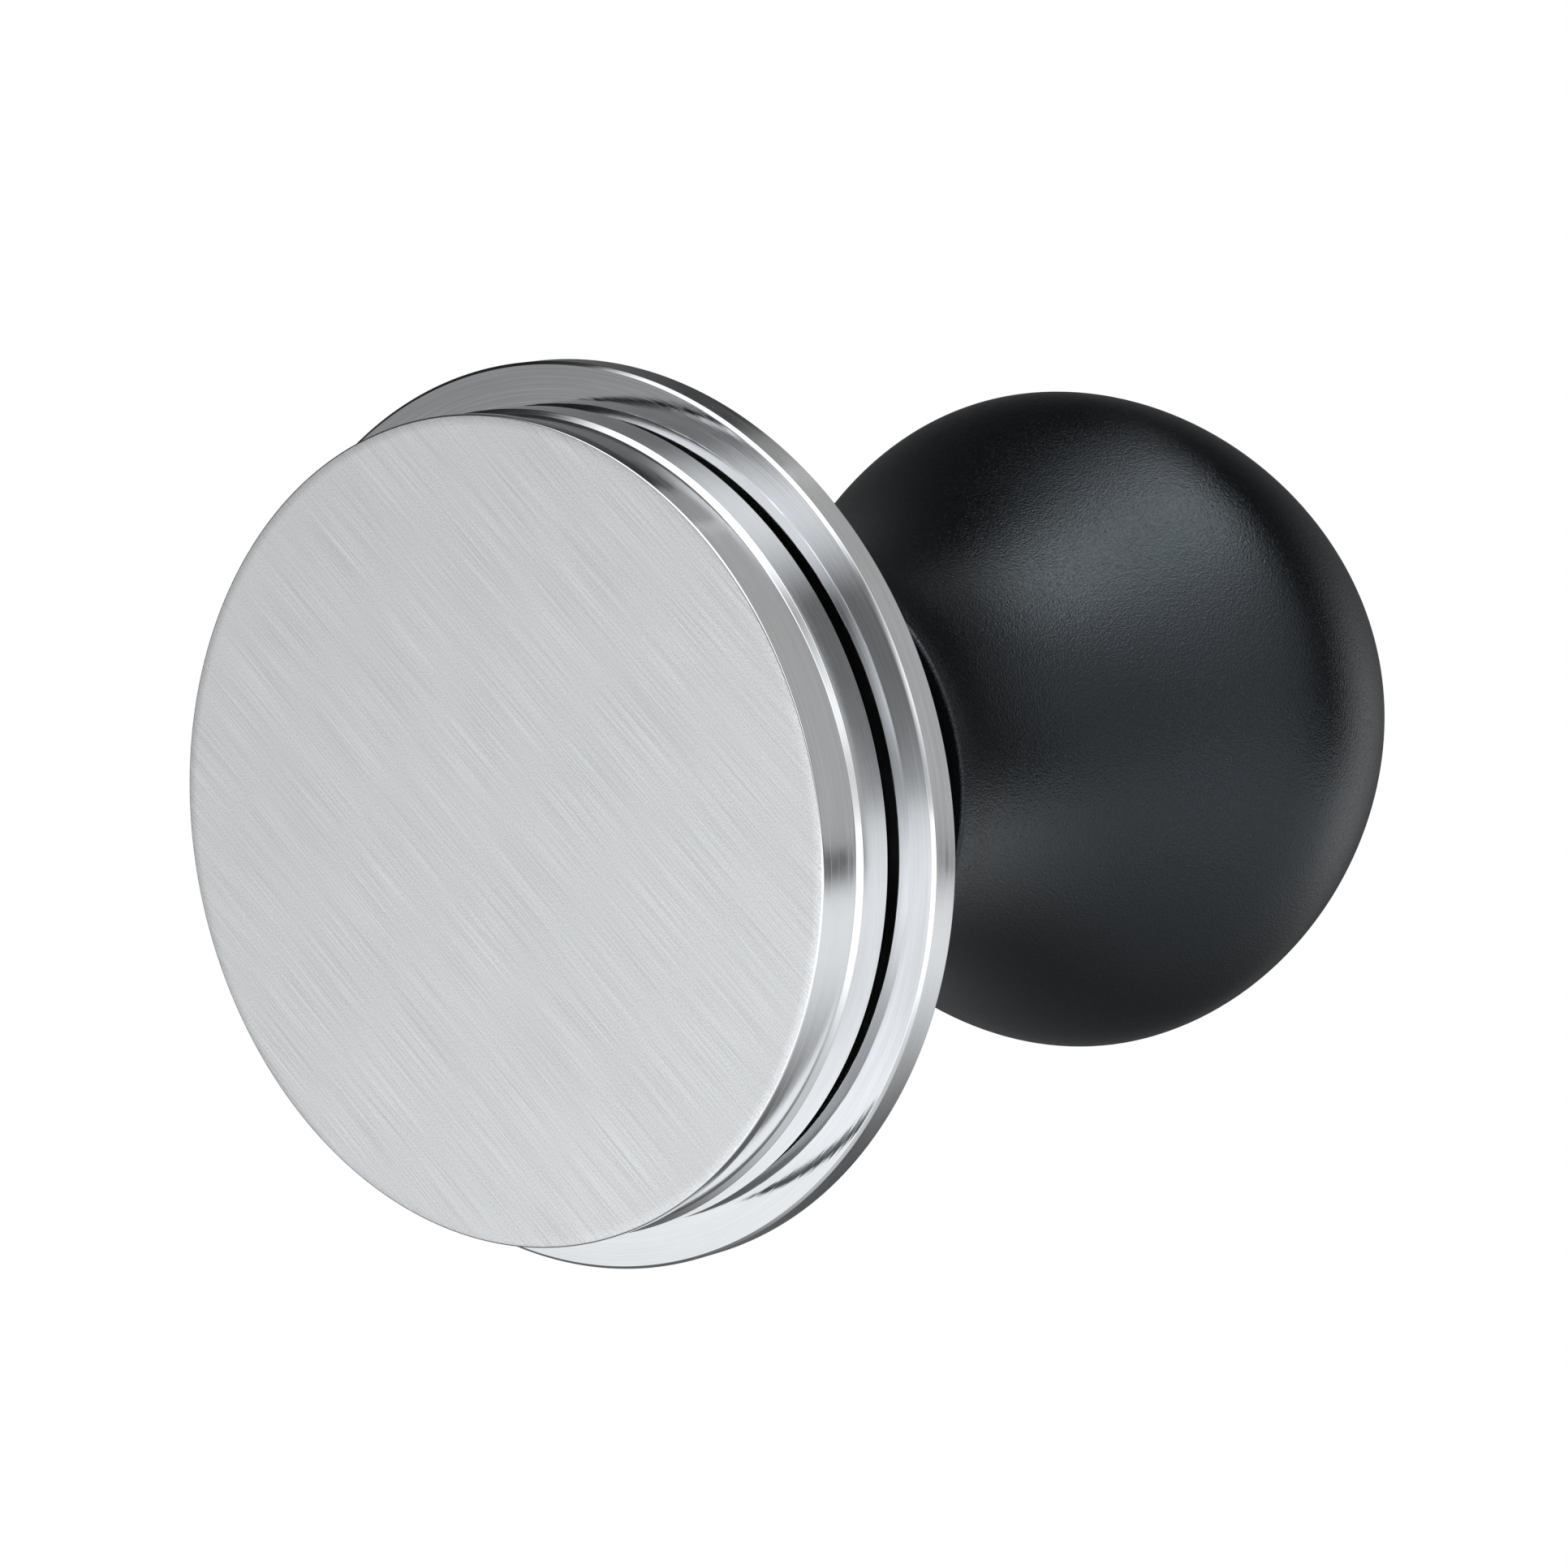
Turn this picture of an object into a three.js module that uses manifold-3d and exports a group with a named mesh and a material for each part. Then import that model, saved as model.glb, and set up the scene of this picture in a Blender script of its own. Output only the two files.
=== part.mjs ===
// Espresso tamper with a spring-loaded levelling collar and a spring-loaded handle.
// Units are millimetres. +Z is the tool's axis, from the tamping face up to the top of the handle.
// The origin is the centre of the tamping face.

import * as THREE from 'three';
import { mergeVertices } from 'three/addons/utils/BufferGeometryUtils.js';
import Module from 'manifold-3d';

const wasm = await Module();
wasm.setup();

// ---------------------------------------------------------------- driving sizes

const SEGMENTS = { large: 64, medium: 48, small: 28, fastener: 16 };
const STACK_GAP = 0.05;             // between two pieces that sit on each other
const PRESS_GAP = 0.1;              // radial, between a piece and the seat that holds it
const RUN_GAP = 0.1;                // radial, between a sliding piece and its guide

const BASE = {
  lipRadius: 28.95, lipHeight: 0.95, lowerRadius: 28.65, upperRadius: 29.0, stepZ: 4.0, stepHeight: 0.35,
  thickness: 7.45,
  faceEdge: 0.2, backEdge: 0.5, bossRadius: 9.5, bossTop: 9.0, holeRadius: 4.2, holeBottom: 2.6,
};
const COLLAR = {
  bottom: 8.18, thickness: 2.43, radius: 32.0, boreRadius: 10.4, edge: 0.2,
  travel: 8, screwCount: 3, screwCircle: 15.2,
};
const SHAFT = {
  radius: 5.0, studRadius: 3.9, studBottom: 3.0, footRadius: 7.5, footBottom: 10.1, footTop: 11.5,
  spigotRadius: 4.0, tapRadius: 2.6, tapBottom: 36, top: 49.4,
};
const BUSH = { flangeRadius: 9.6, flangeHeight: 1.15 };
const PISTON = {
  bottom: 45.9, top: 50.4, radius: 13.3, grooveRadius: 12.1, grooveBottom: 47.1, grooveTop: 49.2,
};
const SLEEVE = {
  radius: 12.0, boreRadius: 10.5, footRadius: 17.5, footHeight: 2.2, pocketRadius: 10.0,
  webBottom: 12.2, webTop: 16.2, webBore: 7.25, edge: 0.3, headroom: 3.9,
};
SLEEVE.top = PISTON.bottom - COLLAR.travel - SLEEVE.headroom;
const HANDLE = {
  bottom: 31.9, bottomRadius: 16.7, bottomEdge: 0.5, neckZ: 38, neckRadius: 16.2, neckPull: 14.5,
  bellyZ: 67, bellyRadius: 25.5, bellyPull: 8, shoulderZ: 86, shoulderRadius: 17.2, shoulderSlope: 0.78,
  shoulderPull: 6, boreRadius: 13.8, springBore: 10.4, springBoreTop: 80, travel: 4, headroom: 1.6,
};
HANDLE.boreTop = PISTON.top + HANDLE.travel + HANDLE.headroom;
const FERRULE = {
  lipRadius: 15.4, lipBottom: 30.4, lipTop: 31.2, edge: 0.2, tubeRadius: 13.6, boreRadius: 12.4, top: 45.6,
  bushSeatRadius: 12.9, bushSeatTop: 36.4, notchCount: 4, notchWidth: 2.0, notchDepth: 1.2,
};
const COLLAR_SPRING = { wire: 0.55, radius: 8.0, turns: 7 };
const MAIN_SPRING = { wire: 1.25, radius: 8.6, turns: 6.5 };
const SCREW = { shankRadius: 1.25, headRadius: 2.2, headHeight: 1.3, tip: 12.2 };
const PISTON_SCREW = { headRadius: 4.4, headHeight: 3.0, shankRadius: 2.4, tip: 39, socketRadius: 2.2 };
const WASHER = { radius: 5.6, thickness: 0.9 };

// ---------------------------------------------------------------- materials

const finish = (color, roughness, metalness) =>
  new THREE.MeshStandardMaterial({ color, roughness, metalness });
const brushedSteel = finish(0xc4c6c9, 0.32, 1.0);
const polishedSteel = finish(0xcdd0d3, 0.12, 1.0);
const springSteel = finish(0xa9abad, 0.3, 1.0);
const blackAnodised = finish(0x1b1d20, 0.55, 0.4);
const blackPolymer = finish(0x17181a, 0.7, 0.0);
const whitePolymer = finish(0xdcdad2, 0.6, 0.0);
const bronze = finish(0xa9793f, 0.4, 1.0);
const blackRubber = finish(0x0f1011, 0.85, 0.0);

// ---------------------------------------------------------------- shape helpers

// A solid of revolution about Z. The outline is a list of [radius, z] points. It runs counter-clockwise
// seen with the radius to the right and z up, and either closes on itself or starts and ends on the axis.
function revolve(outline, segments) {
  const points = outline.map(([radius, z]) => new THREE.Vector2(radius, z));
  const onAxis = outline[0][0] === 0;
  if (!onAxis) points.push(points[0].clone());
  return new THREE.LatheGeometry(points, segments).rotateX(Math.PI / 2);
}

// A solid coil of round wire whose centre line runs from one height to another about Z.
class Helix extends THREE.Curve {
  constructor(radius, turns, bottom, top) {
    super();
    Object.assign(this, { radius, turns, bottom, top });
  }

  getPoint(t, target = new THREE.Vector3()) {
    const angle = 2 * Math.PI * this.turns * t;
    const z = THREE.MathUtils.lerp(this.bottom, this.top, t);
    return target.set(this.radius * Math.cos(angle), this.radius * Math.sin(angle), z);
  }
}

function coil({ wire, radius, turns }, bottom, top) {
  const section = new THREE.Shape().absarc(0, 0, wire, 0, 2 * Math.PI);
  const path = new Helix(radius, turns, bottom + wire, top - wire);
  const options = { steps: Math.round(turns * 12), curveSegments: 3, extrudePath: path, bevelEnabled: false };
  return new THREE.ExtrudeGeometry(section, options);
}

function toSolid(geometry) {
  const bare = geometry.clone();
  bare.deleteAttribute('normal');
  bare.deleteAttribute('uv');
  const merged = mergeVertices(bare, 1e-4);
  const mesh = new wasm.Mesh({
    numProp: 3,
    vertProperties: new Float32Array(merged.attributes.position.array),
    triVerts: new Uint32Array(merged.index.array),
  });
  return new wasm.Manifold(mesh);
}

function toGeometry(solid) {
  const mesh = solid.getMesh();
  const geometry = new THREE.BufferGeometry();
  geometry.setAttribute('position', new THREE.BufferAttribute(new Float32Array(mesh.vertProperties), 3));
  geometry.setIndex(new THREE.BufferAttribute(new Uint32Array(mesh.triVerts), 1));
  geometry.computeVertexNormals();
  return geometry;
}

function cut(geometry, tools) {
  const body = toSolid(geometry);
  return toGeometry(tools.reduce((solid, tool) => solid.subtract(toSolid(tool)), body));
}

// Copies of one geometry spread evenly about Z.
const ringOf = (count, geometry) =>
  Array.from({ length: count }, (_, index) => geometry.clone().rotateZ((2 * Math.PI * index) / count));

// ---------------------------------------------------------------- base and shaft

function tampingBase() {
  const { lipRadius, lipHeight, lowerRadius, upperRadius, stepZ, thickness, faceEdge, backEdge } = BASE;
  return revolve([
    [0, 0], [lipRadius - faceEdge, 0], [lipRadius, faceEdge], [lipRadius, lipHeight],
    [lowerRadius, lipHeight + lipRadius - lowerRadius], [lowerRadius, stepZ],
    [upperRadius, stepZ + BASE.stepHeight], [upperRadius, thickness - backEdge],
    [upperRadius - backEdge, thickness], [BASE.bossRadius, thickness], [BASE.bossRadius, BASE.bossTop],
    [BASE.holeRadius, BASE.bossTop], [BASE.holeRadius, BASE.holeBottom], [0, BASE.holeBottom],
  ], SEGMENTS.large);
}

function guideShaft() {
  const { radius, studRadius, studBottom, footRadius, footBottom, footTop, spigotRadius } = SHAFT;
  return revolve([
    [0, studBottom], [studRadius - 0.5, studBottom], [studRadius, studBottom + 0.5], [studRadius, footBottom],
    [footRadius, footBottom], [footRadius, footTop], [radius, footTop], [radius, PISTON.bottom - STACK_GAP],
    [spigotRadius, PISTON.bottom - STACK_GAP], [spigotRadius, SHAFT.top], [SHAFT.tapRadius, SHAFT.top],
    [SHAFT.tapRadius, SHAFT.tapBottom], [0, SHAFT.tapBottom],
  ], SEGMENTS.small);
}

function shaftPiston() {
  const { bottom, top, radius, grooveRadius, grooveBottom, grooveTop } = PISTON;
  const bore = SHAFT.spigotRadius + PRESS_GAP;
  return revolve([
    [bore, bottom], [radius, bottom], [radius, grooveBottom], [grooveRadius, grooveBottom],
    [grooveRadius, grooveTop], [radius, grooveTop], [radius, top], [bore, top],
  ], SEGMENTS.medium);
}

function pistonRing() {
  const inner = PISTON.grooveRadius + PRESS_GAP;
  const outer = HANDLE.boreRadius - RUN_GAP;
  const bottom = PISTON.grooveBottom + STACK_GAP;
  const top = PISTON.grooveTop - STACK_GAP;
  return revolve([[inner, bottom], [outer, bottom], [outer, top], [inner, top]], SEGMENTS.medium);
}

function pistonWasher() {
  const bottom = PISTON.top + STACK_GAP;
  const top = bottom + WASHER.thickness;
  const bore = SHAFT.tapRadius + PRESS_GAP;
  const outer = WASHER.radius;
  return revolve([[bore, bottom], [outer, bottom], [outer, top], [bore, top]], SEGMENTS.small);
}

// A cap screw with a hexagon socket.
function pistonScrew() {
  const { headRadius, headHeight, shankRadius, tip, socketRadius } = PISTON_SCREW;
  const seat = PISTON.top + WASHER.thickness + 2 * STACK_GAP;
  const top = seat + headHeight;
  const screw = revolve([
    [0, tip], [shankRadius - 0.4, tip], [shankRadius, tip + 0.4], [shankRadius, seat], [headRadius, seat],
    [headRadius, top - 0.4], [headRadius - 0.4, top], [0, top],
  ], SEGMENTS.fastener);
  const socket = new THREE.CylinderGeometry(socketRadius, socketRadius, headHeight, 6).rotateX(Math.PI / 2);
  return cut(screw, [socket.translate(0, 0, top)]);
}

function baseRing() {
  const tube = 0.5;
  const middle = (BASE.bossTop + SHAFT.footBottom) / 2;
  const round = new THREE.TorusGeometry(SHAFT.footRadius - 1.6, tube, 8, SEGMENTS.small);
  return round.translate(0, 0, middle);
}

function bumperWasher() {
  const inner = BASE.bossRadius + PRESS_GAP * 2;
  const outer = COLLAR.boreRadius + 2.2;
  const bottom = BASE.thickness + STACK_GAP;
  const top = COLLAR.bottom - STACK_GAP;
  return revolve([[inner, bottom], [outer, bottom], [outer, top], [inner, top]], SEGMENTS.medium);
}

// ---------------------------------------------------------------- levelling collar

function screwHole() {
  const clearance = 0.25;
  const radius = SCREW.shankRadius + clearance;
  const head = SCREW.headRadius + clearance;
  const mouth = COLLAR.bottom - 1;
  const seat = COLLAR.bottom + SCREW.headHeight + clearance;
  const end = SCREW.tip + clearance;
  return revolve([
    [0, mouth], [head + 1, mouth], [head, COLLAR.bottom], [radius, seat], [radius, end], [0, end],
  ], SEGMENTS.fastener).translate(COLLAR.screwCircle, 0, 0);
}

function levellingCollar() {
  const { bottom, thickness, radius, boreRadius, edge } = COLLAR;
  const top = bottom + thickness;
  const disc = revolve([
    [boreRadius, bottom], [radius - edge, bottom], [radius, bottom + edge], [radius, top - edge],
    [radius - edge, top], [boreRadius, top],
  ], SEGMENTS.large);
  return cut(disc, ringOf(COLLAR.screwCount, screwHole()));
}

function collarSleeve() {
  const { radius, boreRadius, footRadius, pocketRadius, webBottom, webTop, webBore, top, edge } = SLEEVE;
  const footBottom = COLLAR.bottom + COLLAR.thickness + STACK_GAP;
  const footTop = footBottom + SLEEVE.footHeight;
  const sleeve = revolve([
    [pocketRadius, footBottom], [footRadius, footBottom],
    [footRadius, footTop - edge], [footRadius - edge, footTop], [radius, footTop],
    [radius, top - edge], [radius - edge, top], [boreRadius, top], [boreRadius, webTop],
    [webBore, webTop], [webBore, webBottom], [pocketRadius, webBottom],
  ], SEGMENTS.medium);
  return cut(sleeve, ringOf(COLLAR.screwCount, screwHole()));
}

function sleeveBush() {
  const bore = SHAFT.radius + RUN_GAP;
  const body = SLEEVE.webBore - PRESS_GAP;
  const seat = SLEEVE.webTop + STACK_GAP;
  const top = seat + BUSH.flangeHeight;
  return revolve([
    [bore, SLEEVE.webBottom], [body, SLEEVE.webBottom], [body, seat], [BUSH.flangeRadius, seat],
    [BUSH.flangeRadius, top], [bore, top],
  ], SEGMENTS.small);
}

// A countersunk screw, head down, with a cross-shaped recess.
function collarScrew() {
  const { shankRadius, headRadius, headHeight, tip } = SCREW;
  const bottom = COLLAR.bottom + 0.1;
  const screw = revolve([
    [0, bottom], [headRadius, bottom], [headRadius, bottom + 0.15], [shankRadius, bottom + headHeight],
    [shankRadius, tip], [0, tip],
  ], SEGMENTS.fastener);
  const slot = new THREE.BoxGeometry(2.4, 0.5, 1.2).translate(0, 0, bottom);
  return cut(screw, [slot, slot.clone().rotateZ(Math.PI / 2)]);
}

function collarSpring() {
  const bottom = SLEEVE.webTop + BUSH.flangeHeight + 2 * STACK_GAP;
  return coil(COLLAR_SPRING, bottom, PISTON.bottom - STACK_GAP);
}

// ---------------------------------------------------------------- handle

// The grip's outside from the bottom edge to the top: a flared foot, a waist, a belly, a shoulder that
// slopes in by shoulderSlope per millimetre of height, and a round crown that carries the slope on.
function handleOutline() {
  const { bottom, bottomRadius, bottomEdge, neckZ, neckRadius, neckPull } = HANDLE;
  const { bellyZ, bellyRadius, bellyPull } = HANDLE;
  const { shoulderZ, shoulderRadius, shoulderSlope, shoulderPull } = HANDLE;
  const grip = new THREE.Path();
  grip.moveTo(bottomRadius - bottomEdge, bottom);
  grip.lineTo(bottomRadius, bottom + bottomEdge);
  grip.quadraticCurveTo(neckRadius, (bottom + neckZ) / 2, neckRadius, neckZ);
  grip.bezierCurveTo(neckRadius, neckZ + neckPull, bellyRadius, bellyZ - bellyPull, bellyRadius, bellyZ);
  grip.bezierCurveTo(bellyRadius, bellyZ + shoulderPull, shoulderRadius + shoulderSlope * shoulderPull,
    shoulderZ - shoulderPull, shoulderRadius, shoulderZ);
  const crownDrop = shoulderSlope * shoulderRadius;
  const crownRadius = Math.hypot(shoulderRadius, crownDrop);
  grip.absarc(0, shoulderZ - crownDrop, crownRadius, Math.atan(shoulderSlope), Math.PI / 2);
  return grip.getPoints(9).map((point) => [point.x, point.y]);
}

function handleBody() {
  const { bottom, boreRadius, boreTop, springBore, springBoreTop } = HANDLE;
  const bore = [
    [0, springBoreTop], [springBore, springBoreTop], [springBore, boreTop + 1], [boreRadius, boreTop],
    [boreRadius, bottom],
  ];
  const outside = handleOutline();
  outside[outside.length - 1][0] = 0;
  return revolve([...bore, ...outside], SEGMENTS.medium);
}

function handleFerrule() {
  const { lipRadius, lipBottom, lipTop, edge, tubeRadius, boreRadius, top } = FERRULE;
  const { bushSeatRadius, bushSeatTop } = FERRULE;
  const ring = revolve([
    [bushSeatRadius, lipBottom], [lipRadius - edge, lipBottom], [lipRadius, lipBottom + edge],
    [lipRadius, lipTop], [tubeRadius, lipTop], [tubeRadius, top], [boreRadius, top],
    [boreRadius, bushSeatTop], [bushSeatRadius, bushSeatTop],
  ], SEGMENTS.medium);
  const notch = new THREE.BoxGeometry(2 * FERRULE.notchDepth, FERRULE.notchWidth, 2);
  return cut(ring, ringOf(FERRULE.notchCount, notch.translate(lipRadius, 0, lipBottom)));
}

function ferruleGasket() {
  const bottom = FERRULE.lipTop + STACK_GAP;
  const top = HANDLE.bottom - STACK_GAP;
  const inner = FERRULE.tubeRadius + PRESS_GAP;
  const outer = FERRULE.lipRadius - 0.3;
  return revolve([[inner, bottom], [outer, bottom], [outer, top], [inner, top]], SEGMENTS.medium);
}

function ferruleBush() {
  const inner = SLEEVE.radius + RUN_GAP;
  const outer = FERRULE.bushSeatRadius - PRESS_GAP;
  const top = FERRULE.bushSeatTop - STACK_GAP;
  const bottom = FERRULE.lipBottom + 0.2;
  return revolve([[inner, bottom], [outer, bottom], [outer, top], [inner, top]], SEGMENTS.medium);
}

function springSeat() {
  const top = HANDLE.springBoreTop - STACK_GAP;
  const bottom = top - 1.0;
  const outer = HANDLE.springBore - 0.4;
  return revolve([[4, bottom], [outer, bottom], [outer, top], [4, top]], SEGMENTS.small);
}

function mainSpring() {
  const seat = HANDLE.springBoreTop - STACK_GAP - 1.0;
  return coil(MAIN_SPRING, PISTON.top + STACK_GAP, seat - STACK_GAP);
}

// ---------------------------------------------------------------- assembly

function piece(name, geometry, material) {
  const mesh = new THREE.Mesh(geometry, material);
  mesh.name = name;
  return mesh;
}

function baseGroup() {
  const group = new THREE.Group();
  group.add(
    piece('tamping_base', tampingBase(), brushedSteel),
    piece('base_o_ring', baseRing(), blackRubber),
    piece('bumper_washer', bumperWasher(), blackRubber),
    piece('guide_shaft', guideShaft(), polishedSteel),
    piece('shaft_piston', shaftPiston(), brushedSteel),
    piece('piston_ring', pistonRing(), whitePolymer),
    piece('piston_washer', pistonWasher(), springSteel),
    piece('piston_screw', pistonScrew(), springSteel),
  );
  return group;
}

function collarGroup() {
  const group = new THREE.Group();
  group.add(
    piece('levelling_collar', levellingCollar(), polishedSteel),
    piece('collar_sleeve', collarSleeve(), blackAnodised),
    piece('sleeve_bush', sleeveBush(), bronze),
    piece('collar_spring', collarSpring(), springSteel),
  );
  for (let index = 0; index < COLLAR.screwCount; index += 1) {
    const screw = piece(`collar_screw_${index + 1}`, collarScrew(), springSteel);
    const angle = (2 * Math.PI * index) / COLLAR.screwCount;
    screw.position.set(COLLAR.screwCircle * Math.cos(angle), COLLAR.screwCircle * Math.sin(angle), 0);
    screw.rotation.z = angle;
    group.add(screw);
  }
  return group;
}

function handleGroup() {
  const group = new THREE.Group();
  group.add(
    piece('handle_body', handleBody(), blackAnodised),
    piece('handle_ferrule', handleFerrule(), blackAnodised),
    piece('ferrule_gasket', ferruleGasket(), blackRubber),
    piece('ferrule_bush', ferruleBush(), blackPolymer),
    piece('spring_seat', springSeat(), springSteel),
    piece('main_spring', mainSpring(), springSteel),
  );
  return group;
}

const tamper = new THREE.Group();
tamper.name = 'espresso_tamper';
tamper.add(baseGroup(), collarGroup(), handleGroup());

export default tamper;
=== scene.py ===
# Espresso tamper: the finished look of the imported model, in the row frame, in metres.
# +Z is the tool's axis, from the tamping face (z = 0) up to the top of the handle.

import math

import bmesh
import bpy
from mathutils import Matrix, Vector


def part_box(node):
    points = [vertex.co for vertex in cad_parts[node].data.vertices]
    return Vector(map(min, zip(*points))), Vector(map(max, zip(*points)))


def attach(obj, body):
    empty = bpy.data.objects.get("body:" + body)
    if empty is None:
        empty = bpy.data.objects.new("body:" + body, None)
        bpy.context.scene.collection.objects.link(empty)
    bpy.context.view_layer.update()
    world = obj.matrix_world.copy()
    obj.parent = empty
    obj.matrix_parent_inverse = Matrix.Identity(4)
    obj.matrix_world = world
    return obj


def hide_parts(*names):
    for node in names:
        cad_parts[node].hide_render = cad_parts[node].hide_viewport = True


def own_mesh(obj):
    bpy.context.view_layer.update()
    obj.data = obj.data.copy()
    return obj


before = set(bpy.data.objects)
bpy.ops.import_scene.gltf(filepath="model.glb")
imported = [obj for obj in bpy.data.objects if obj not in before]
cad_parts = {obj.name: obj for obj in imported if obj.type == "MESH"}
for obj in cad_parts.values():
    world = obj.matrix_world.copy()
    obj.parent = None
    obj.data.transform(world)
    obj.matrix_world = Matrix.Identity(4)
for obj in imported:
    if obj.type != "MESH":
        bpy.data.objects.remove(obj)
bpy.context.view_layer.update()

MM = 0.001

# ---------------------------------------------------------------- places taken from the frame

FACE_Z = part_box("tamping_base")[0].z / MM
BOSS_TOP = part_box("tamping_base")[1].z / MM
BASE_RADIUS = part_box("tamping_base")[1].x / MM
COLLAR_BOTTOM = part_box("levelling_collar")[0].z / MM
COLLAR_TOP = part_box("levelling_collar")[1].z / MM
COLLAR_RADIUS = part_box("levelling_collar")[1].x / MM
SLEEVE_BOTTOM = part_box("collar_sleeve")[0].z / MM
SLEEVE_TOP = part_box("collar_sleeve")[1].z / MM
HANDLE_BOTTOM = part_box("handle_body")[0].z / MM
HANDLE_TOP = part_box("handle_body")[1].z / MM
BELLY_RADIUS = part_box("handle_body")[1].x / MM
FERRULE_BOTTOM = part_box("handle_ferrule")[0].z / MM
FERRULE_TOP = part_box("handle_ferrule")[1].z / MM

# ---------------------------------------------------------------- mesh helpers

FILLET_STEPS = 6
ON_AXIS = 1e-6


def arc_at(before, corner, after, radius):
    """Points of a fillet of that radius where two straight stretches of an outline meet."""
    corner = Vector(corner)
    back = (Vector(before) - corner).normalized()
    ahead = (Vector(after) - corner).normalized()
    half = back.angle(ahead) / 2
    reach = radius / math.tan(half)
    centre = corner + (back + ahead).normalized() * (radius / math.sin(half))
    start = corner + back * reach - centre
    end = corner + ahead * reach - centre
    sweep = start.angle(end)
    points = []
    for step in range(FILLET_STEPS + 1):
        t = step / FILLET_STEPS
        mixed = (start * math.sin((1 - t) * sweep) + end * math.sin(t * sweep)) / math.sin(sweep)
        points.append(tuple(centre + mixed))
    return points


def rounded(corners):
    """An outline from (radius, z, fillet) corners. A corner with no fillet stays sharp."""
    outline = []
    for index, corner in enumerate(corners):
        if len(corner) < 3:
            outline.append(corner[:2])
            continue
        before = corners[index - 1][:2]
        after = corners[(index + 1) % len(corners)][:2]
        outline.extend(arc_at(before, corner[:2], after, corner[2]))
    return outline


def bezier(p0, p1, p2, p3, steps):
    """Points of a cubic curve, without its last one."""
    points = []
    for step in range(steps):
        t = step / steps
        u = 1 - t
        weights = (u ** 3, 3 * u * u * t, 3 * u * t * t, t ** 3)
        points.append(tuple(sum(w * p[k] for w, p in zip(weights, (p0, p1, p2, p3))) for k in (0, 1)))
    return points


def make_object(name, mesh_data, materials):
    mesh = bpy.data.meshes.new(name)
    bmesh.ops.recalc_face_normals(mesh_data, faces=mesh_data.faces)
    mesh_data.to_mesh(mesh)
    mesh_data.free()
    for material in materials:
        mesh.materials.append(material)
    mesh.shade_smooth()
    piece = bpy.data.objects.new(name, mesh)
    bpy.context.scene.collection.objects.link(piece)
    return piece


def weigh_normals(piece):
    """Flat stretches shade flat up to their small rounded edges."""
    modifier = piece.modifiers.new("flat faces stay flat", "WEIGHTED_NORMAL")
    modifier.mode = "FACE_AREA"
    modifier.weight = 100
    return piece


def revolve(name, outline, segments, materials, slot_of=None):
    """A solid of revolution about Z from an outline of (radius, z) in millimetres. It closes on itself,
    or starts and ends on the axis. slot_of(radius, z) gives the material slot of a face's middle."""
    shape = bmesh.new()
    rings = []
    for radius, z in outline:
        if radius < ON_AXIS:
            rings.append([shape.verts.new((0, 0, z * MM))])
            continue
        ring = []
        for step in range(segments):
            angle = 2 * math.pi * step / segments
            x, y = radius * math.cos(angle) * MM, radius * math.sin(angle) * MM
            ring.append(shape.verts.new((x, y, z * MM)))
        rings.append(ring)
    closes = outline[0][0] > ON_AXIS
    pairs = list(zip(rings, rings[1:])) + ([(rings[-1], rings[0])] if closes else [])
    for number, (low, high) in enumerate(pairs):
        (r0, z0), (r1, z1) = outline[number], outline[(number + 1) % len(outline)]
        slot = slot_of((r0 + r1) / 2, (z0 + z1) / 2) if slot_of else 0
        for step in range(segments):
            after = (step + 1) % segments
            corners = [low[step % len(low)], low[after % len(low)]]
            corners += [high[after % len(high)], high[step % len(high)]]
            face = shape.faces.new(list(dict.fromkeys(corners)))
            face.material_index = slot
    return weigh_normals(make_object(name, shape, materials))


def coil_spring(name, material, wire, radius, turns, bottom, top):
    """A compression spring with closed end turns, of round wire of that radius. Sizes in millimetres."""
    per_turn, around, closed_turns = 40, 12, 1.0
    total = turns + 2 * closed_turns
    steps = int(total * per_turn)
    low, high = bottom + wire, top - wire
    closed_rise = 2 * wire * closed_turns

    def height(turn):
        if turn < closed_turns:
            return low + closed_rise * turn / closed_turns
        if turn > total - closed_turns:
            return high - closed_rise * (total - turn) / closed_turns
        share = (turn - closed_turns) / turns
        return low + closed_rise + (high - low - 2 * closed_rise) * share

    shape = bmesh.new()
    rings = []
    for step in range(steps + 1):
        turn = total * step / steps
        angle = 2 * math.pi * turn
        out = Vector((math.cos(angle), math.sin(angle), 0))
        centre = out * radius + Vector((0, 0, height(turn)))
        ring = []
        for side in range(around):
            tilt = 2 * math.pi * side / around
            point = centre + out * (wire * math.cos(tilt)) + Vector((0, 0, wire * math.sin(tilt)))
            ring.append(shape.verts.new(point * MM))
        rings.append(ring)
    for low_ring, high_ring in zip(rings, rings[1:]):
        for side in range(around):
            after = (side + 1) % around
            shape.faces.new((low_ring[side], low_ring[after], high_ring[after], high_ring[side]))
    shape.faces.new(rings[0])
    shape.faces.new(rings[-1])
    return make_object(name, shape, [material])


# ---------------------------------------------------------------- material helpers


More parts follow.
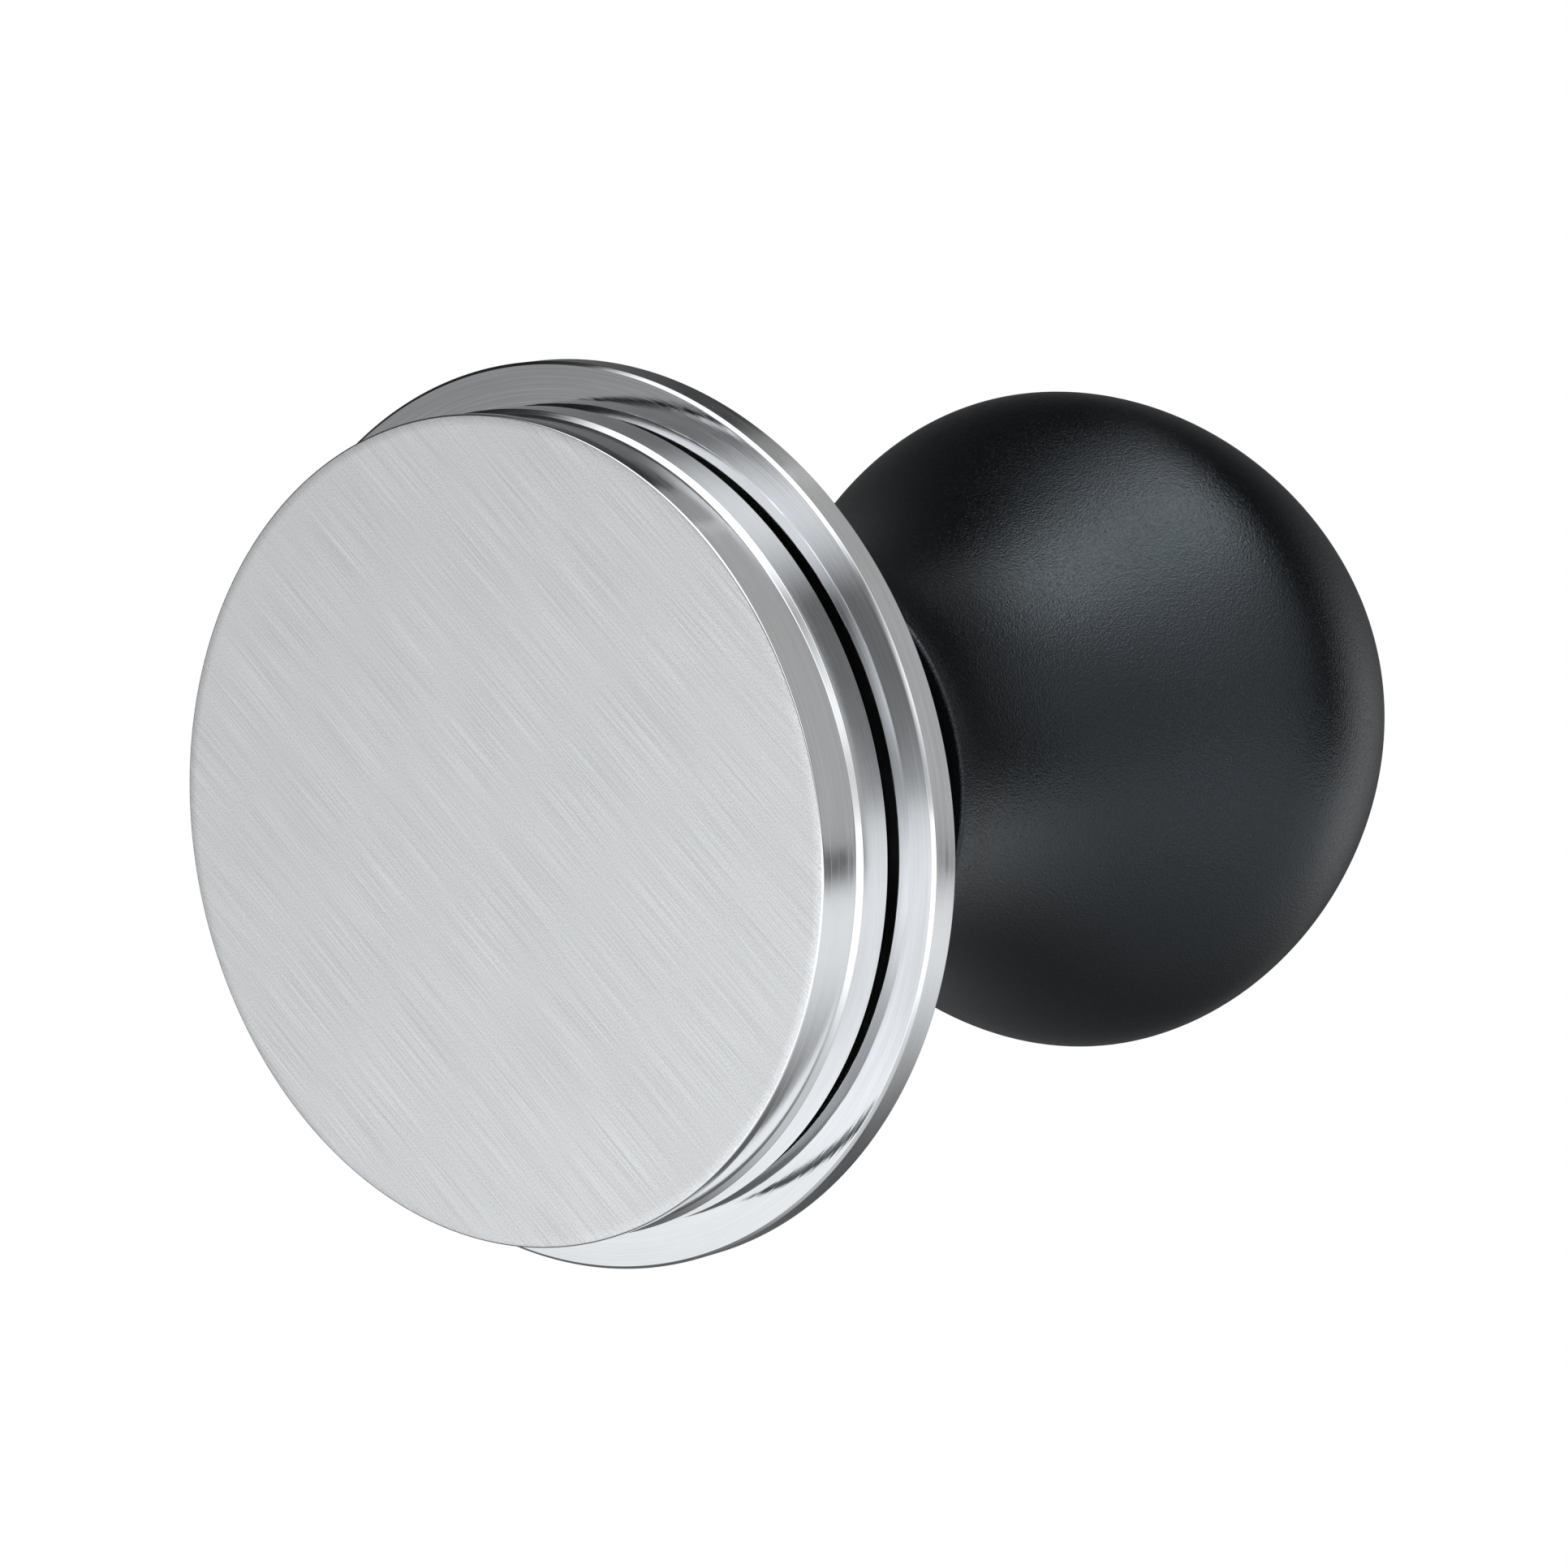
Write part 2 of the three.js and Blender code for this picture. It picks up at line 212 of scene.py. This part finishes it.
class Tree:
    """A short way to write a node tree, of a material or of the world."""

    def __init__(self, owner):
        owner.use_nodes = True
        self.tree = owner.node_tree
        self.tree.nodes.clear()

    def put(self, socket, value):
        if isinstance(value, bpy.types.NodeSocket):
            self.tree.links.new(value, socket)
        elif value is not None:
            socket.default_value = value

    def node(self, kind, *inputs, **settings):
        node = self.tree.nodes.new("ShaderNode" + kind)
        for key, value in settings.items():
            setattr(node, key, value)
        for socket, value in zip(node.inputs, inputs):
            self.put(socket, value)
        return node

    def math(self, operation, a, b=None, c=None):
        return self.node("Math", a, b, c, operation=operation).outputs[0]

    def chain(self, operation, values):
        total = values[0]
        for value in values[1:]:
            total = self.math(operation, total, value)
        return total

    def add(self, *values):
        return self.chain("ADD", values)

    def multiply(self, *values):
        return self.chain("MULTIPLY", values)

    def noise(self, vector, scale, detail=3.0, roughness=0.5):
        node = self.node("TexNoise")
        self.put(node.inputs["Vector"], vector)
        self.put(node.inputs["Scale"], scale)
        self.put(node.inputs["Detail"], detail)
        self.put(node.inputs["Roughness"], roughness)
        return node.outputs["Fac"]

    def remap(self, value, low, high, to_low, to_high):
        return self.node("MapRange", value, low, high, to_low, to_high).outputs[0]

    def mix_colour(self, factor, a, b):
        node = self.node("Mix", data_type="RGBA")
        self.put(node.inputs["Factor"], factor)
        self.put(node.inputs["A"], a)
        self.put(node.inputs["B"], b)
        return node.outputs["Result"]

    def position(self):
        return self.node("TexCoord").outputs["Object"]

    def split(self, vector):
        return self.node("SeparateXYZ", vector).outputs

    def join(self, x, y, z):
        return self.node("CombineXYZ", x, y, z).outputs[0]

    def fade(self, value, low, high, at_low, at_high):
        node = self.node("MapRange", value, low, high, at_low, at_high, interpolation_type="SMOOTHSTEP")
        return node.outputs[0]


class Nodes(Tree):
    """The node tree of one material, round a Principled shader."""

    def __init__(self, name):
        self.material = bpy.data.materials.new(name)
        super().__init__(self.material)
        output = self.tree.nodes.new("ShaderNodeOutputMaterial")
        self.shader = self.tree.nodes.new("ShaderNodeBsdfPrincipled")
        self.tree.links.new(self.shader.outputs[0], output.inputs[0])

    def bump(self, height, strength, distance):
        node = self.node("Bump")
        self.put(node.inputs["Height"], height)
        self.put(node.inputs["Strength"], strength)
        self.put(node.inputs["Distance"], distance)
        return node.outputs["Normal"]

    def set(self, **sockets):
        for name, value in sockets.items():
            self.put(self.shader.inputs[name.replace("_", " ").title().replace("Ior", "IOR")], value)
        return self


def turned_direction(nodes):
    """Coordinates that stay the same round the tool's axis, so detail stretched along them reads as
    marks left by a lathe: slow round the axis, fast along the radius and the height."""
    x, y, z = nodes.split(nodes.position())
    radius = nodes.math("SQRT", nodes.add(nodes.multiply(x, x), nodes.multiply(y, y)))
    safe = nodes.math("MAXIMUM", radius, 1e-6)
    return nodes.math("DIVIDE", x, safe), nodes.math("DIVIDE", y, safe), z, radius


def darkened(colour, share):
    return [channel * share for channel in colour[:3]] + [1.0]


def turned_steel(name, colour, roughness, streaks, mark_size=0.00012, anisotropic=0.5):
    """Steel with fine marks round the axis. streaks is how far they change the roughness."""
    arc, wide_share = 1.6, 0.13
    nodes = Nodes(name)
    along_x, along_y, z, radius = turned_direction(nodes)
    across = nodes.add(nodes.multiply(z, 1 / mark_size), nodes.multiply(radius, 1 / mark_size))

    def ring_marks(stretch, place, detail):
        x, y = nodes.multiply(along_x, stretch), nodes.multiply(along_y, stretch)
        return nodes.noise(nodes.join(x, y, place), 1.0, detail)

    fine = ring_marks(arc, across, 2.0)
    wide = ring_marks(3 * arc, nodes.multiply(across, wide_share), 3.0)
    smudge = nodes.noise(nodes.position(), 90.0, 4.0, 0.6)
    marks = nodes.add(nodes.multiply(fine, 0.6), nodes.multiply(wide, 0.4))
    shade = nodes.remap(marks, 0.3, 0.7, 0.0, 1.0)
    rough = nodes.add(nodes.remap(marks, 0.3, 0.7, roughness - streaks, roughness + streaks),
                      nodes.remap(smudge, 0.35, 0.7, -0.25 * roughness, 0.35 * roughness))
    nodes.set(base_color=nodes.mix_colour(shade, darkened(colour, 0.88), colour))
    nodes.set(metallic=1.0, roughness=rough, anisotropic=anisotropic, normal=nodes.bump(marks, 0.10, 0.00003))
    tangent = nodes.node("Tangent", direction_type="RADIAL", axis="Z").outputs[0]
    nodes.set(tangent=tangent)
    return nodes.material


def brushed_face_steel(name, colour, angle):
    """Steel brushed one way, with straight hairlines at that angle to X."""
    nodes = Nodes(name)
    turn = nodes.node("VectorRotate", rotation_type="Z_AXIS")
    nodes.put(turn.inputs["Vector"], nodes.position())
    nodes.put(turn.inputs["Angle"], -angle)
    u, v, w = nodes.split(turn.outputs[0])

    def lines(length, width, detail):
        place = nodes.join(nodes.math("DIVIDE", u, length), nodes.math("DIVIDE", v, width), w)
        return nodes.noise(place, 1.0, detail)

    hair = lines(0.009, 0.00008, 1.0)
    strand = lines(0.022, 0.00020, 2.0)
    band = lines(0.05, 0.002, 2.0)
    speck = nodes.noise(nodes.position(), 9000.0, 2.0, 0.7)
    cloud = nodes.noise(nodes.position(), 45.0, 3.0, 0.55)
    patch = nodes.noise(nodes.position(), 120.0, 2.0, 0.5)
    strength = nodes.remap(patch, 0.35, 0.65, 0.85, 1.2)
    marks = nodes.add(nodes.multiply(hair, 0.36), nodes.multiply(strand, 0.08), nodes.multiply(speck, 0.56))
    marks = nodes.math("MULTIPLY_ADD", nodes.math("SUBTRACT", marks, 0.5), strength, 0.5)
    shade = nodes.add(nodes.remap(marks, 0.38, 0.62, 0.0, 0.9), nodes.remap(band, 0.3, 0.7, 0.0, 0.1))
    rough = nodes.add(nodes.remap(marks, 0.3, 0.7, 0.37, 0.33), nodes.remap(cloud, 0.3, 0.7, -0.02, 0.03))
    nodes.set(base_color=nodes.mix_colour(shade, darkened(colour, 0.66), colour))
    nodes.set(metallic=1.0, roughness=rough, anisotropic=0.75, normal=nodes.bump(marks, 0.22, 0.00004))
    nodes.set(tangent=nodes.join(math.cos(angle), math.sin(angle), 0.0))
    return nodes.material


def black_grip(name):
    """Matte black with a fine blasted grain that sparkles slightly."""
    deep, pale = (0.0018, 0.002, 0.0025, 1), (0.0045, 0.005, 0.006, 1)
    nodes = Nodes(name)
    place = nodes.position()
    grain = nodes.noise(place, 8000.0, 1.0, 0.5)
    pits = nodes.noise(place, 4500.0, 1.0, 0.5)
    cloud = nodes.noise(place, 60.0, 3.0, 0.5)
    height = nodes.add(nodes.multiply(grain, 0.8), nodes.multiply(pits, 0.6))
    colour = nodes.mix_colour(nodes.remap(grain, 0.35, 0.7, 0.0, 1.0), deep, pale)
    rough = nodes.add(nodes.remap(pits, 0.3, 0.7, 0.12, 0.18), nodes.remap(cloud, 0.3, 0.7, -0.02, 0.03))
    nodes.set(base_color=colour, metallic=0.0, roughness=rough, normal=nodes.bump(height, 1.0, 0.00005))
    nodes.set(specular_ior_level=0.48, specular_tint=(0.80, 0.91, 1.0, 1.0))
    return nodes.material


def plain_finish(name, colour, roughness, metallic=0.0, grain=1500.0):
    """A finish with fine grain and slight patches, for rubber, polymer and machined parts."""
    nodes = Nodes(name)
    fine = nodes.noise(nodes.position(), grain, 3.0)
    patch = nodes.noise(nodes.position(), 120.0, 3.0)
    shade = nodes.remap(fine, 0.3, 0.7, 0.0, 1.0)
    nodes.set(base_color=nodes.mix_colour(shade, darkened(colour, 0.8), colour), metallic=metallic)
    nodes.set(roughness=nodes.add(nodes.remap(patch, 0.3, 0.7, -0.05, 0.05), roughness))
    nodes.set(normal=nodes.bump(fine, 0.15, 0.00003))
    return nodes.material


BRUSH_ANGLE = math.radians(45.4)
FACE_STEEL = brushed_face_steel("face steel", (0.92, 0.92, 0.925, 1), BRUSH_ANGLE)
RIM_STEEL = turned_steel("rim steel", (0.80, 0.805, 0.815, 1), 0.15, 0.05, anisotropic=0.3)
MIRROR_STEEL = turned_steel("mirror steel", (0.78, 0.785, 0.795, 1), 0.05, 0.025, anisotropic=0.2)
COLLAR_RIM_STEEL = turned_steel("collar rim steel", (0.80, 0.805, 0.815, 1), 0.2, 0.07, mark_size=0.00018)
SHAFT_STEEL = turned_steel("shaft steel", (0.62, 0.63, 0.64, 1), 0.2, 0.05)
FASTENER_STEEL = plain_finish("fastener steel", (0.5, 0.51, 0.52, 1), 0.32, 1.0)
SPRING_STEEL = plain_finish("spring steel", (0.42, 0.43, 0.44, 1), 0.34, 1.0)
GRIP_BLACK = black_grip("grip black")
SLEEVE_BLACK = plain_finish("sleeve black", (0.020, 0.021, 0.023, 1), 0.36, 0.0, 2500.0)
FERRULE_BLACK = plain_finish("ferrule black", (0.016, 0.0165, 0.018, 1), 0.4, 0.0, 2500.0)
BUSH_BLACK = plain_finish("bush black", (0.014, 0.014, 0.015, 1), 0.5)
GUIDE_POLYMER = plain_finish("guide polymer", (0.72, 0.70, 0.65, 1), 0.45)
BRONZE = plain_finish("bush bronze", (0.45, 0.27, 0.12, 1), 0.38, 1.0)
RUBBER = plain_finish("rubber", (0.010, 0.010, 0.011, 1), 0.75)

# ---------------------------------------------------------------- pieces


def finish_piece(piece, body, node):
    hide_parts(node)
    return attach(piece, body)


def base_disc():
    """The tamping base: brushed face, a thin lip, a shallow relief and the full-width rim behind it.
    The last stretch of the face rolls over a little towards its edge, as polishing leaves it."""
    lip, relief, rim = BASE_RADIUS - 0.05, BASE_RADIUS - 0.35, BASE_RADIUS
    lip_top, step_low, step_high, back, back_edge = 0.95, 4.0, 4.35, 7.45, 0.5
    boss, hole, hole_bottom, relief_slope = 9.5, 4.2, 2.6, 0.22
    roll_width, roll_depth, roll_steps = 0.8, 0.05, 6
    roll = [(lip - roll_width * (1 - step / roll_steps), FACE_Z + roll_depth * (step / roll_steps) ** 2)
            for step in range(roll_steps)]
    outline = rounded([(0.0, FACE_Z)] + roll + [
        (lip, FACE_Z + roll_depth, 0.15), (lip, lip_top, 0.09), (relief, lip_top + relief_slope, 0.08),
        (relief, step_low, 0.12), (rim, step_high, 0.08), (rim, back - back_edge, 0.06),
        (rim - back_edge, back, 0.06), (boss, back, 0.3),
        (boss, BOSS_TOP, 0.3), (hole, BOSS_TOP, 0.2), (hole, hole_bottom), (0.0, hole_bottom),
    ])

    def slot_of(radius, z):
        return 0 if z < FACE_Z + roll_depth and radius < lip - 0.1 else 1

    disc = revolve("base_disc", outline, 256, [FACE_STEEL, RIM_STEEL], slot_of)
    return finish_piece(disc, "base", "tamping_base")


def collar_ring():
    """The levelling collar: mirror-polished in front, finely turned on its rim and back."""
    bore, chamfer, polished_depth = 10.4, 0.22, 0.25
    outline = rounded([
        (bore, COLLAR_BOTTOM, 0.2), (COLLAR_RADIUS - chamfer, COLLAR_BOTTOM, 0.06),
        (COLLAR_RADIUS, COLLAR_BOTTOM + chamfer, 0.06), (COLLAR_RADIUS, COLLAR_TOP, 0.18),
        (bore, COLLAR_TOP, 0.2),
    ])

    def slot_of(radius, z):
        return 0 if z < COLLAR_BOTTOM + polished_depth else 1

    ring = revolve("collar_ring", outline, 256, [MIRROR_STEEL, COLLAR_RIM_STEEL], slot_of)
    return finish_piece(ring, "collar", "levelling_collar")


def sleeve_tube():
    """The black sleeve that carries the collar and slides up into the handle."""
    outer, bore, foot, pocket = 12.0, 10.5, 17.5, 10.0
    foot_top, web_low, web_top, web_bore = SLEEVE_BOTTOM + 2.2, 12.2, 16.2, 7.25
    outline = rounded([
        (pocket, SLEEVE_BOTTOM), (foot, SLEEVE_BOTTOM, 0.1), (foot, foot_top, 0.5), (outer, foot_top, 0.8),
        (outer, SLEEVE_TOP, 0.3), (bore, SLEEVE_TOP, 0.2), (bore, web_top, 0.3), (web_bore, web_top, 0.1),
        (web_bore, web_low), (pocket, web_low),
    ])
    tube = revolve("sleeve_tube", outline, 128, [SLEEVE_BLACK])
    return finish_piece(tube, "collar", "collar_sleeve")


def grip():
    """The pear-shaped handle with its stepped bore. A round crown carries the shoulder's slope on."""
    foot, waist_z, waist, waist_pull = 16.7, 38.0, 16.2, 14.5
    belly_z, belly_pull = 67.0, 8.0
    shoulder_z, shoulder, slope, shoulder_pull = 86.0, 17.2, 0.78, 6.0
    bore, bore_top, spring_bore, spring_top = 13.8, 56.0, 10.4, 80.0
    outline = [(0.0, spring_top)]
    outline += rounded([
        (0.0, spring_top), (spring_bore, spring_top), (spring_bore, bore_top + 1), (bore, bore_top),
        (bore, HANDLE_BOTTOM, 0.3), (foot, HANDLE_BOTTOM, 0.35), (foot - 0.05, HANDLE_BOTTOM + 2),
    ])[1:-1]
    outline += bezier((foot - 0.02, HANDLE_BOTTOM + 1.2), (foot - 0.2, HANDLE_BOTTOM + 3),
                      (waist, waist_z - 2), (waist, waist_z), 10)
    outline += bezier((waist, waist_z), (waist, waist_z + waist_pull), (BELLY_RADIUS, belly_z - belly_pull),
                      (BELLY_RADIUS, belly_z), 48)
    outline += bezier((BELLY_RADIUS, belly_z), (BELLY_RADIUS, belly_z + shoulder_pull),
                      (shoulder + slope * shoulder_pull, shoulder_z - shoulder_pull),
                      (shoulder, shoulder_z), 36)
    crown_drop = slope * shoulder
    crown = math.hypot(shoulder, crown_drop)
    start = math.atan(slope)
    crown_steps = 24
    for step in range(crown_steps + 1):
        angle = start + (math.pi / 2 - start) * step / crown_steps
        outline.append((crown * math.cos(angle), shoulder_z - crown_drop + crown * math.sin(angle)))
    outline[-1] = (0.0, outline[-1][1])
    body = revolve("grip", outline, 192, [GRIP_BLACK])
    return finish_piece(body, "handle", "handle_body")


def ferrule():
    """The black ring screwed into the handle's lower end."""
    lip, lip_top, tube, bore, seat, seat_top = 15.4, 31.2, 13.6, 12.4, 12.9, 36.4
    outline = rounded([
        (seat, FERRULE_BOTTOM, 0.15), (lip, FERRULE_BOTTOM, 0.25), (lip, lip_top, 0.1), (tube, lip_top),
        (tube, FERRULE_TOP, 0.2), (bore, FERRULE_TOP, 0.2), (bore, seat_top), (seat, seat_top),
    ])
    ring = revolve("ferrule", outline, 128, [FERRULE_BLACK])
    return finish_piece(ring, "handle", "handle_ferrule")


def gasket():
    """The flat seal between the ferrule's lip and the handle."""
    inner, outer, low, high = 13.7, 15.1, 31.25, 31.85
    outline = rounded([(inner, low), (outer, low, 0.1), (outer, high, 0.1), (inner, high)])
    ring = revolve("gasket", outline, 96, [RUBBER])
    return finish_piece(ring, "handle", "ferrule_gasket")


def springs():
    """Both springs stand on the base body."""
    low, high = (corner.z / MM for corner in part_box("collar_spring"))
    light = coil_spring("light_spring", SPRING_STEEL, 0.55, 8.0, 6.5, low, high)
    finish_piece(light, "base", "collar_spring")
    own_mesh(light)
    low, high = (corner.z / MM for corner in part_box("main_spring"))
    heavy = coil_spring("heavy_spring", SPRING_STEEL, 1.25, 8.6, 5.0, low, high)
    finish_piece(heavy, "base", "main_spring")
    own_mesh(heavy)


def paint_nodes():
    """The CAD pieces that stay as they are, mostly inside, get their finishes."""
    finishes = {
        "base_o_ring": RUBBER, "bumper_washer": RUBBER,
        "guide_shaft": SHAFT_STEEL, "shaft_piston": SHAFT_STEEL,
        "piston_ring": GUIDE_POLYMER, "piston_washer": FASTENER_STEEL, "piston_screw": FASTENER_STEEL,
        "sleeve_bush": BRONZE, "collar_screw_1": FASTENER_STEEL, "collar_screw_2": FASTENER_STEEL,
        "collar_screw_3": FASTENER_STEEL, "ferrule_bush": BUSH_BLACK, "spring_seat": FASTENER_STEEL,
    }
    for name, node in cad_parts.items():
        if name not in finishes:
            continue
        node.data.materials.clear()
        node.data.materials.append(finishes[name])


base_disc()
collar_ring()
sleeve_tube()
grip()
ferrule()
gasket()
springs()
paint_nodes()

# ---------------------------------------------------------------- camera

# The camera looks up at the tamping face: YAW off the tool's axis and PITCH below it, with +Y as its up.
YAW, PITCH = math.radians(38.8), math.radians(7.2)
CAMERA_UP = Vector((0, math.cos(PITCH), math.sin(PITCH)))
LOOK = Vector((math.sin(YAW), -math.cos(YAW) * math.sin(PITCH), math.cos(YAW) * math.cos(PITCH)))
CAMERA_RIGHT = LOOK.cross(CAMERA_UP)
AIM = Vector((0, -0.0006, 0.0323))
DISTANCE = 0.4323
LENS, SENSOR = 135.76, 36


def make_camera():
    data = bpy.data.cameras.new("camera")
    data.sensor_width = SENSOR
    data.lens = LENS
    data.clip_start, data.clip_end = 0.01, 50
    camera = bpy.data.objects.new("camera", data)
    bpy.context.scene.collection.objects.link(camera)
    turn = Matrix((CAMERA_RIGHT, CAMERA_UP, -LOOK)).transposed()
    camera.matrix_world = Matrix.Translation(AIM - LOOK * DISTANCE) @ turn.to_4x4()
    bpy.context.scene.camera = camera


make_camera()

# ---------------------------------------------------------------- floor, light and backdrop


def make_floor():
    """A pale floor just under the face. It shows from above only, and casts nothing on the part."""
    half_width, drop = 6, 0.0003
    shape = bmesh.new()
    bmesh.ops.create_grid(shape, x_segments=1, y_segments=1, size=half_width)
    nodes = Nodes("floor")
    nodes.set(base_color=(0.25, 0.25, 0.252, 1), roughness=0.6)
    nodes.set(emission_color=(0.80, 0.80, 0.805, 1), emission_strength=0.95)
    clear = nodes.node("BsdfTransparent").outputs[0]
    behind = nodes.node("NewGeometry").outputs["Backfacing"]
    mixed = nodes.node("MixShader", behind, nodes.shader.outputs[0], clear).outputs[0]
    nodes.tree.links.new(mixed, nodes.tree.nodes["Material Output"].inputs[0])
    floor = make_object("floor", shape, [nodes.material])
    floor.location.z = -drop
    floor.visible_diffuse = floor.visible_glossy = floor.visible_transmission = floor.visible_shadow = False


def make_world():
    """The studio, as directions (right, up, away) from the camera: bright below, grey above in front and
    nearly dark above behind, a large soft light high on the right, and weaker ones far on the right, high
    in front, low in front, low on the left and behind. Past the part, the camera sees plain white."""
    world = bpy.data.worlds.new("studio")
    bpy.context.scene.world = world
    studio = Tree(world)
    place = studio.node("TexCoord").outputs["Generated"]

    def along(right, up, away):
        toward = (CAMERA_RIGHT * right + CAMERA_UP * up + LOOK * away).normalized()
        return studio.node("VectorMath", place, toward, operation="DOT_PRODUCT").outputs["Value"]

    def glow(toward, sharpness, level):
        drop = studio.math("MULTIPLY_ADD", along(*toward), sharpness, -sharpness)
        return studio.math("MULTIPLY", studio.math("EXPONENT", drop), level)

    def window(toward, inner, outer, level):
        edges = [math.cos(math.radians(angle)) for angle in (outer, inner)]
        return studio.fade(along(*toward), *edges, 0.0, level)

    side, height, depth = along(1, 0, 0), along(0, 1, 0), along(0, 0, 1)
    behind = studio.fade(along(-0.30, -0.45, 0.84), 0.15, 0.85, 1.0, 0.16)
    sides = studio.add(studio.fade(side, -0.5, 0.4, 0.95, 0.54), studio.fade(side, 0.45, 0.95, 0.0, 0.42))
    below = studio.multiply(studio.fade(height, -0.20, -0.12, 1.0, 0.0), behind, sides)
    above = studio.multiply(studio.fade(height, -0.20, -0.12, 0.0, 1.0),
                            studio.fade(depth, -0.25, 0.35, 0.19, 0.02))
    key = studio.multiply(
        studio.fade(side, -0.02, 0.40, 0.0, 4.9), studio.fade(side, 0.28, 0.80, 1.0, 0.05),
        studio.fade(depth, -0.16, 0.20, 1.0, 0.0), studio.fade(depth, -0.60, -0.06, 0.38, 1.0),
        studio.fade(height, -0.10, 0.30, 0.0, 1.0))
    rim = glow((0.70, -0.02, 0.71), 26.0, 0.7)
    front = window((-0.28, 0.83, -0.42), 18, 37, 1.45)
    low_front = glow((0.36, -0.42, -0.83), 16.0, 1.6)
    left = glow((-0.62, -0.45, -0.64), 8.0, 0.85)
    back = glow((0.0, 0.25, 0.97), 12.0, 0.09)
    level = studio.add(below, above, key, rim, front, low_front, left, back)
    lit = studio.node("Background", (0.975, 0.998, 1.015, 1), level).outputs[0]
    seen = studio.node("Background", (1, 1, 1, 1), 1.0).outputs[0]
    looking = studio.node("LightPath").outputs["Is Camera Ray"]
    studio.node("OutputWorld", studio.node("MixShader", looking, lit, seen).outputs[0])


def card(name, centre, along, width, length, level):
    """A soft card of light beside the part, turned to its base. level is its brightness, where 1 is the
    white of the backdrop. Sizes in millimetres."""
    target = Vector((0, 0, 10))
    data = bpy.data.lights.new(name, "AREA")
    data.shape = "RECTANGLE"
    data.size, data.size_y = width * MM, length * MM
    data.energy = level * math.pi * data.size * data.size_y
    light = bpy.data.objects.new(name, data)
    bpy.context.scene.collection.objects.link(light)
    back = (Vector(centre) - target).normalized()
    side = Vector(along).cross(back).normalized()
    turn = Matrix((side, back.cross(side), back)).transposed()
    light.matrix_world = Matrix.Translation(Vector(centre) * MM) @ turn.to_4x4()
    light.visible_camera = False


make_floor()
make_world()
card("side_card", (-57, 35, 64), (0.547, 0.837, 0), 45, 112, 0.41)
card("top_card", (-14, 80, 76), (0, 0, 1), 22, 60, 0.32)

scene = bpy.context.scene
scene.view_settings.view_transform = "Standard"
scene.view_settings.look = "None"
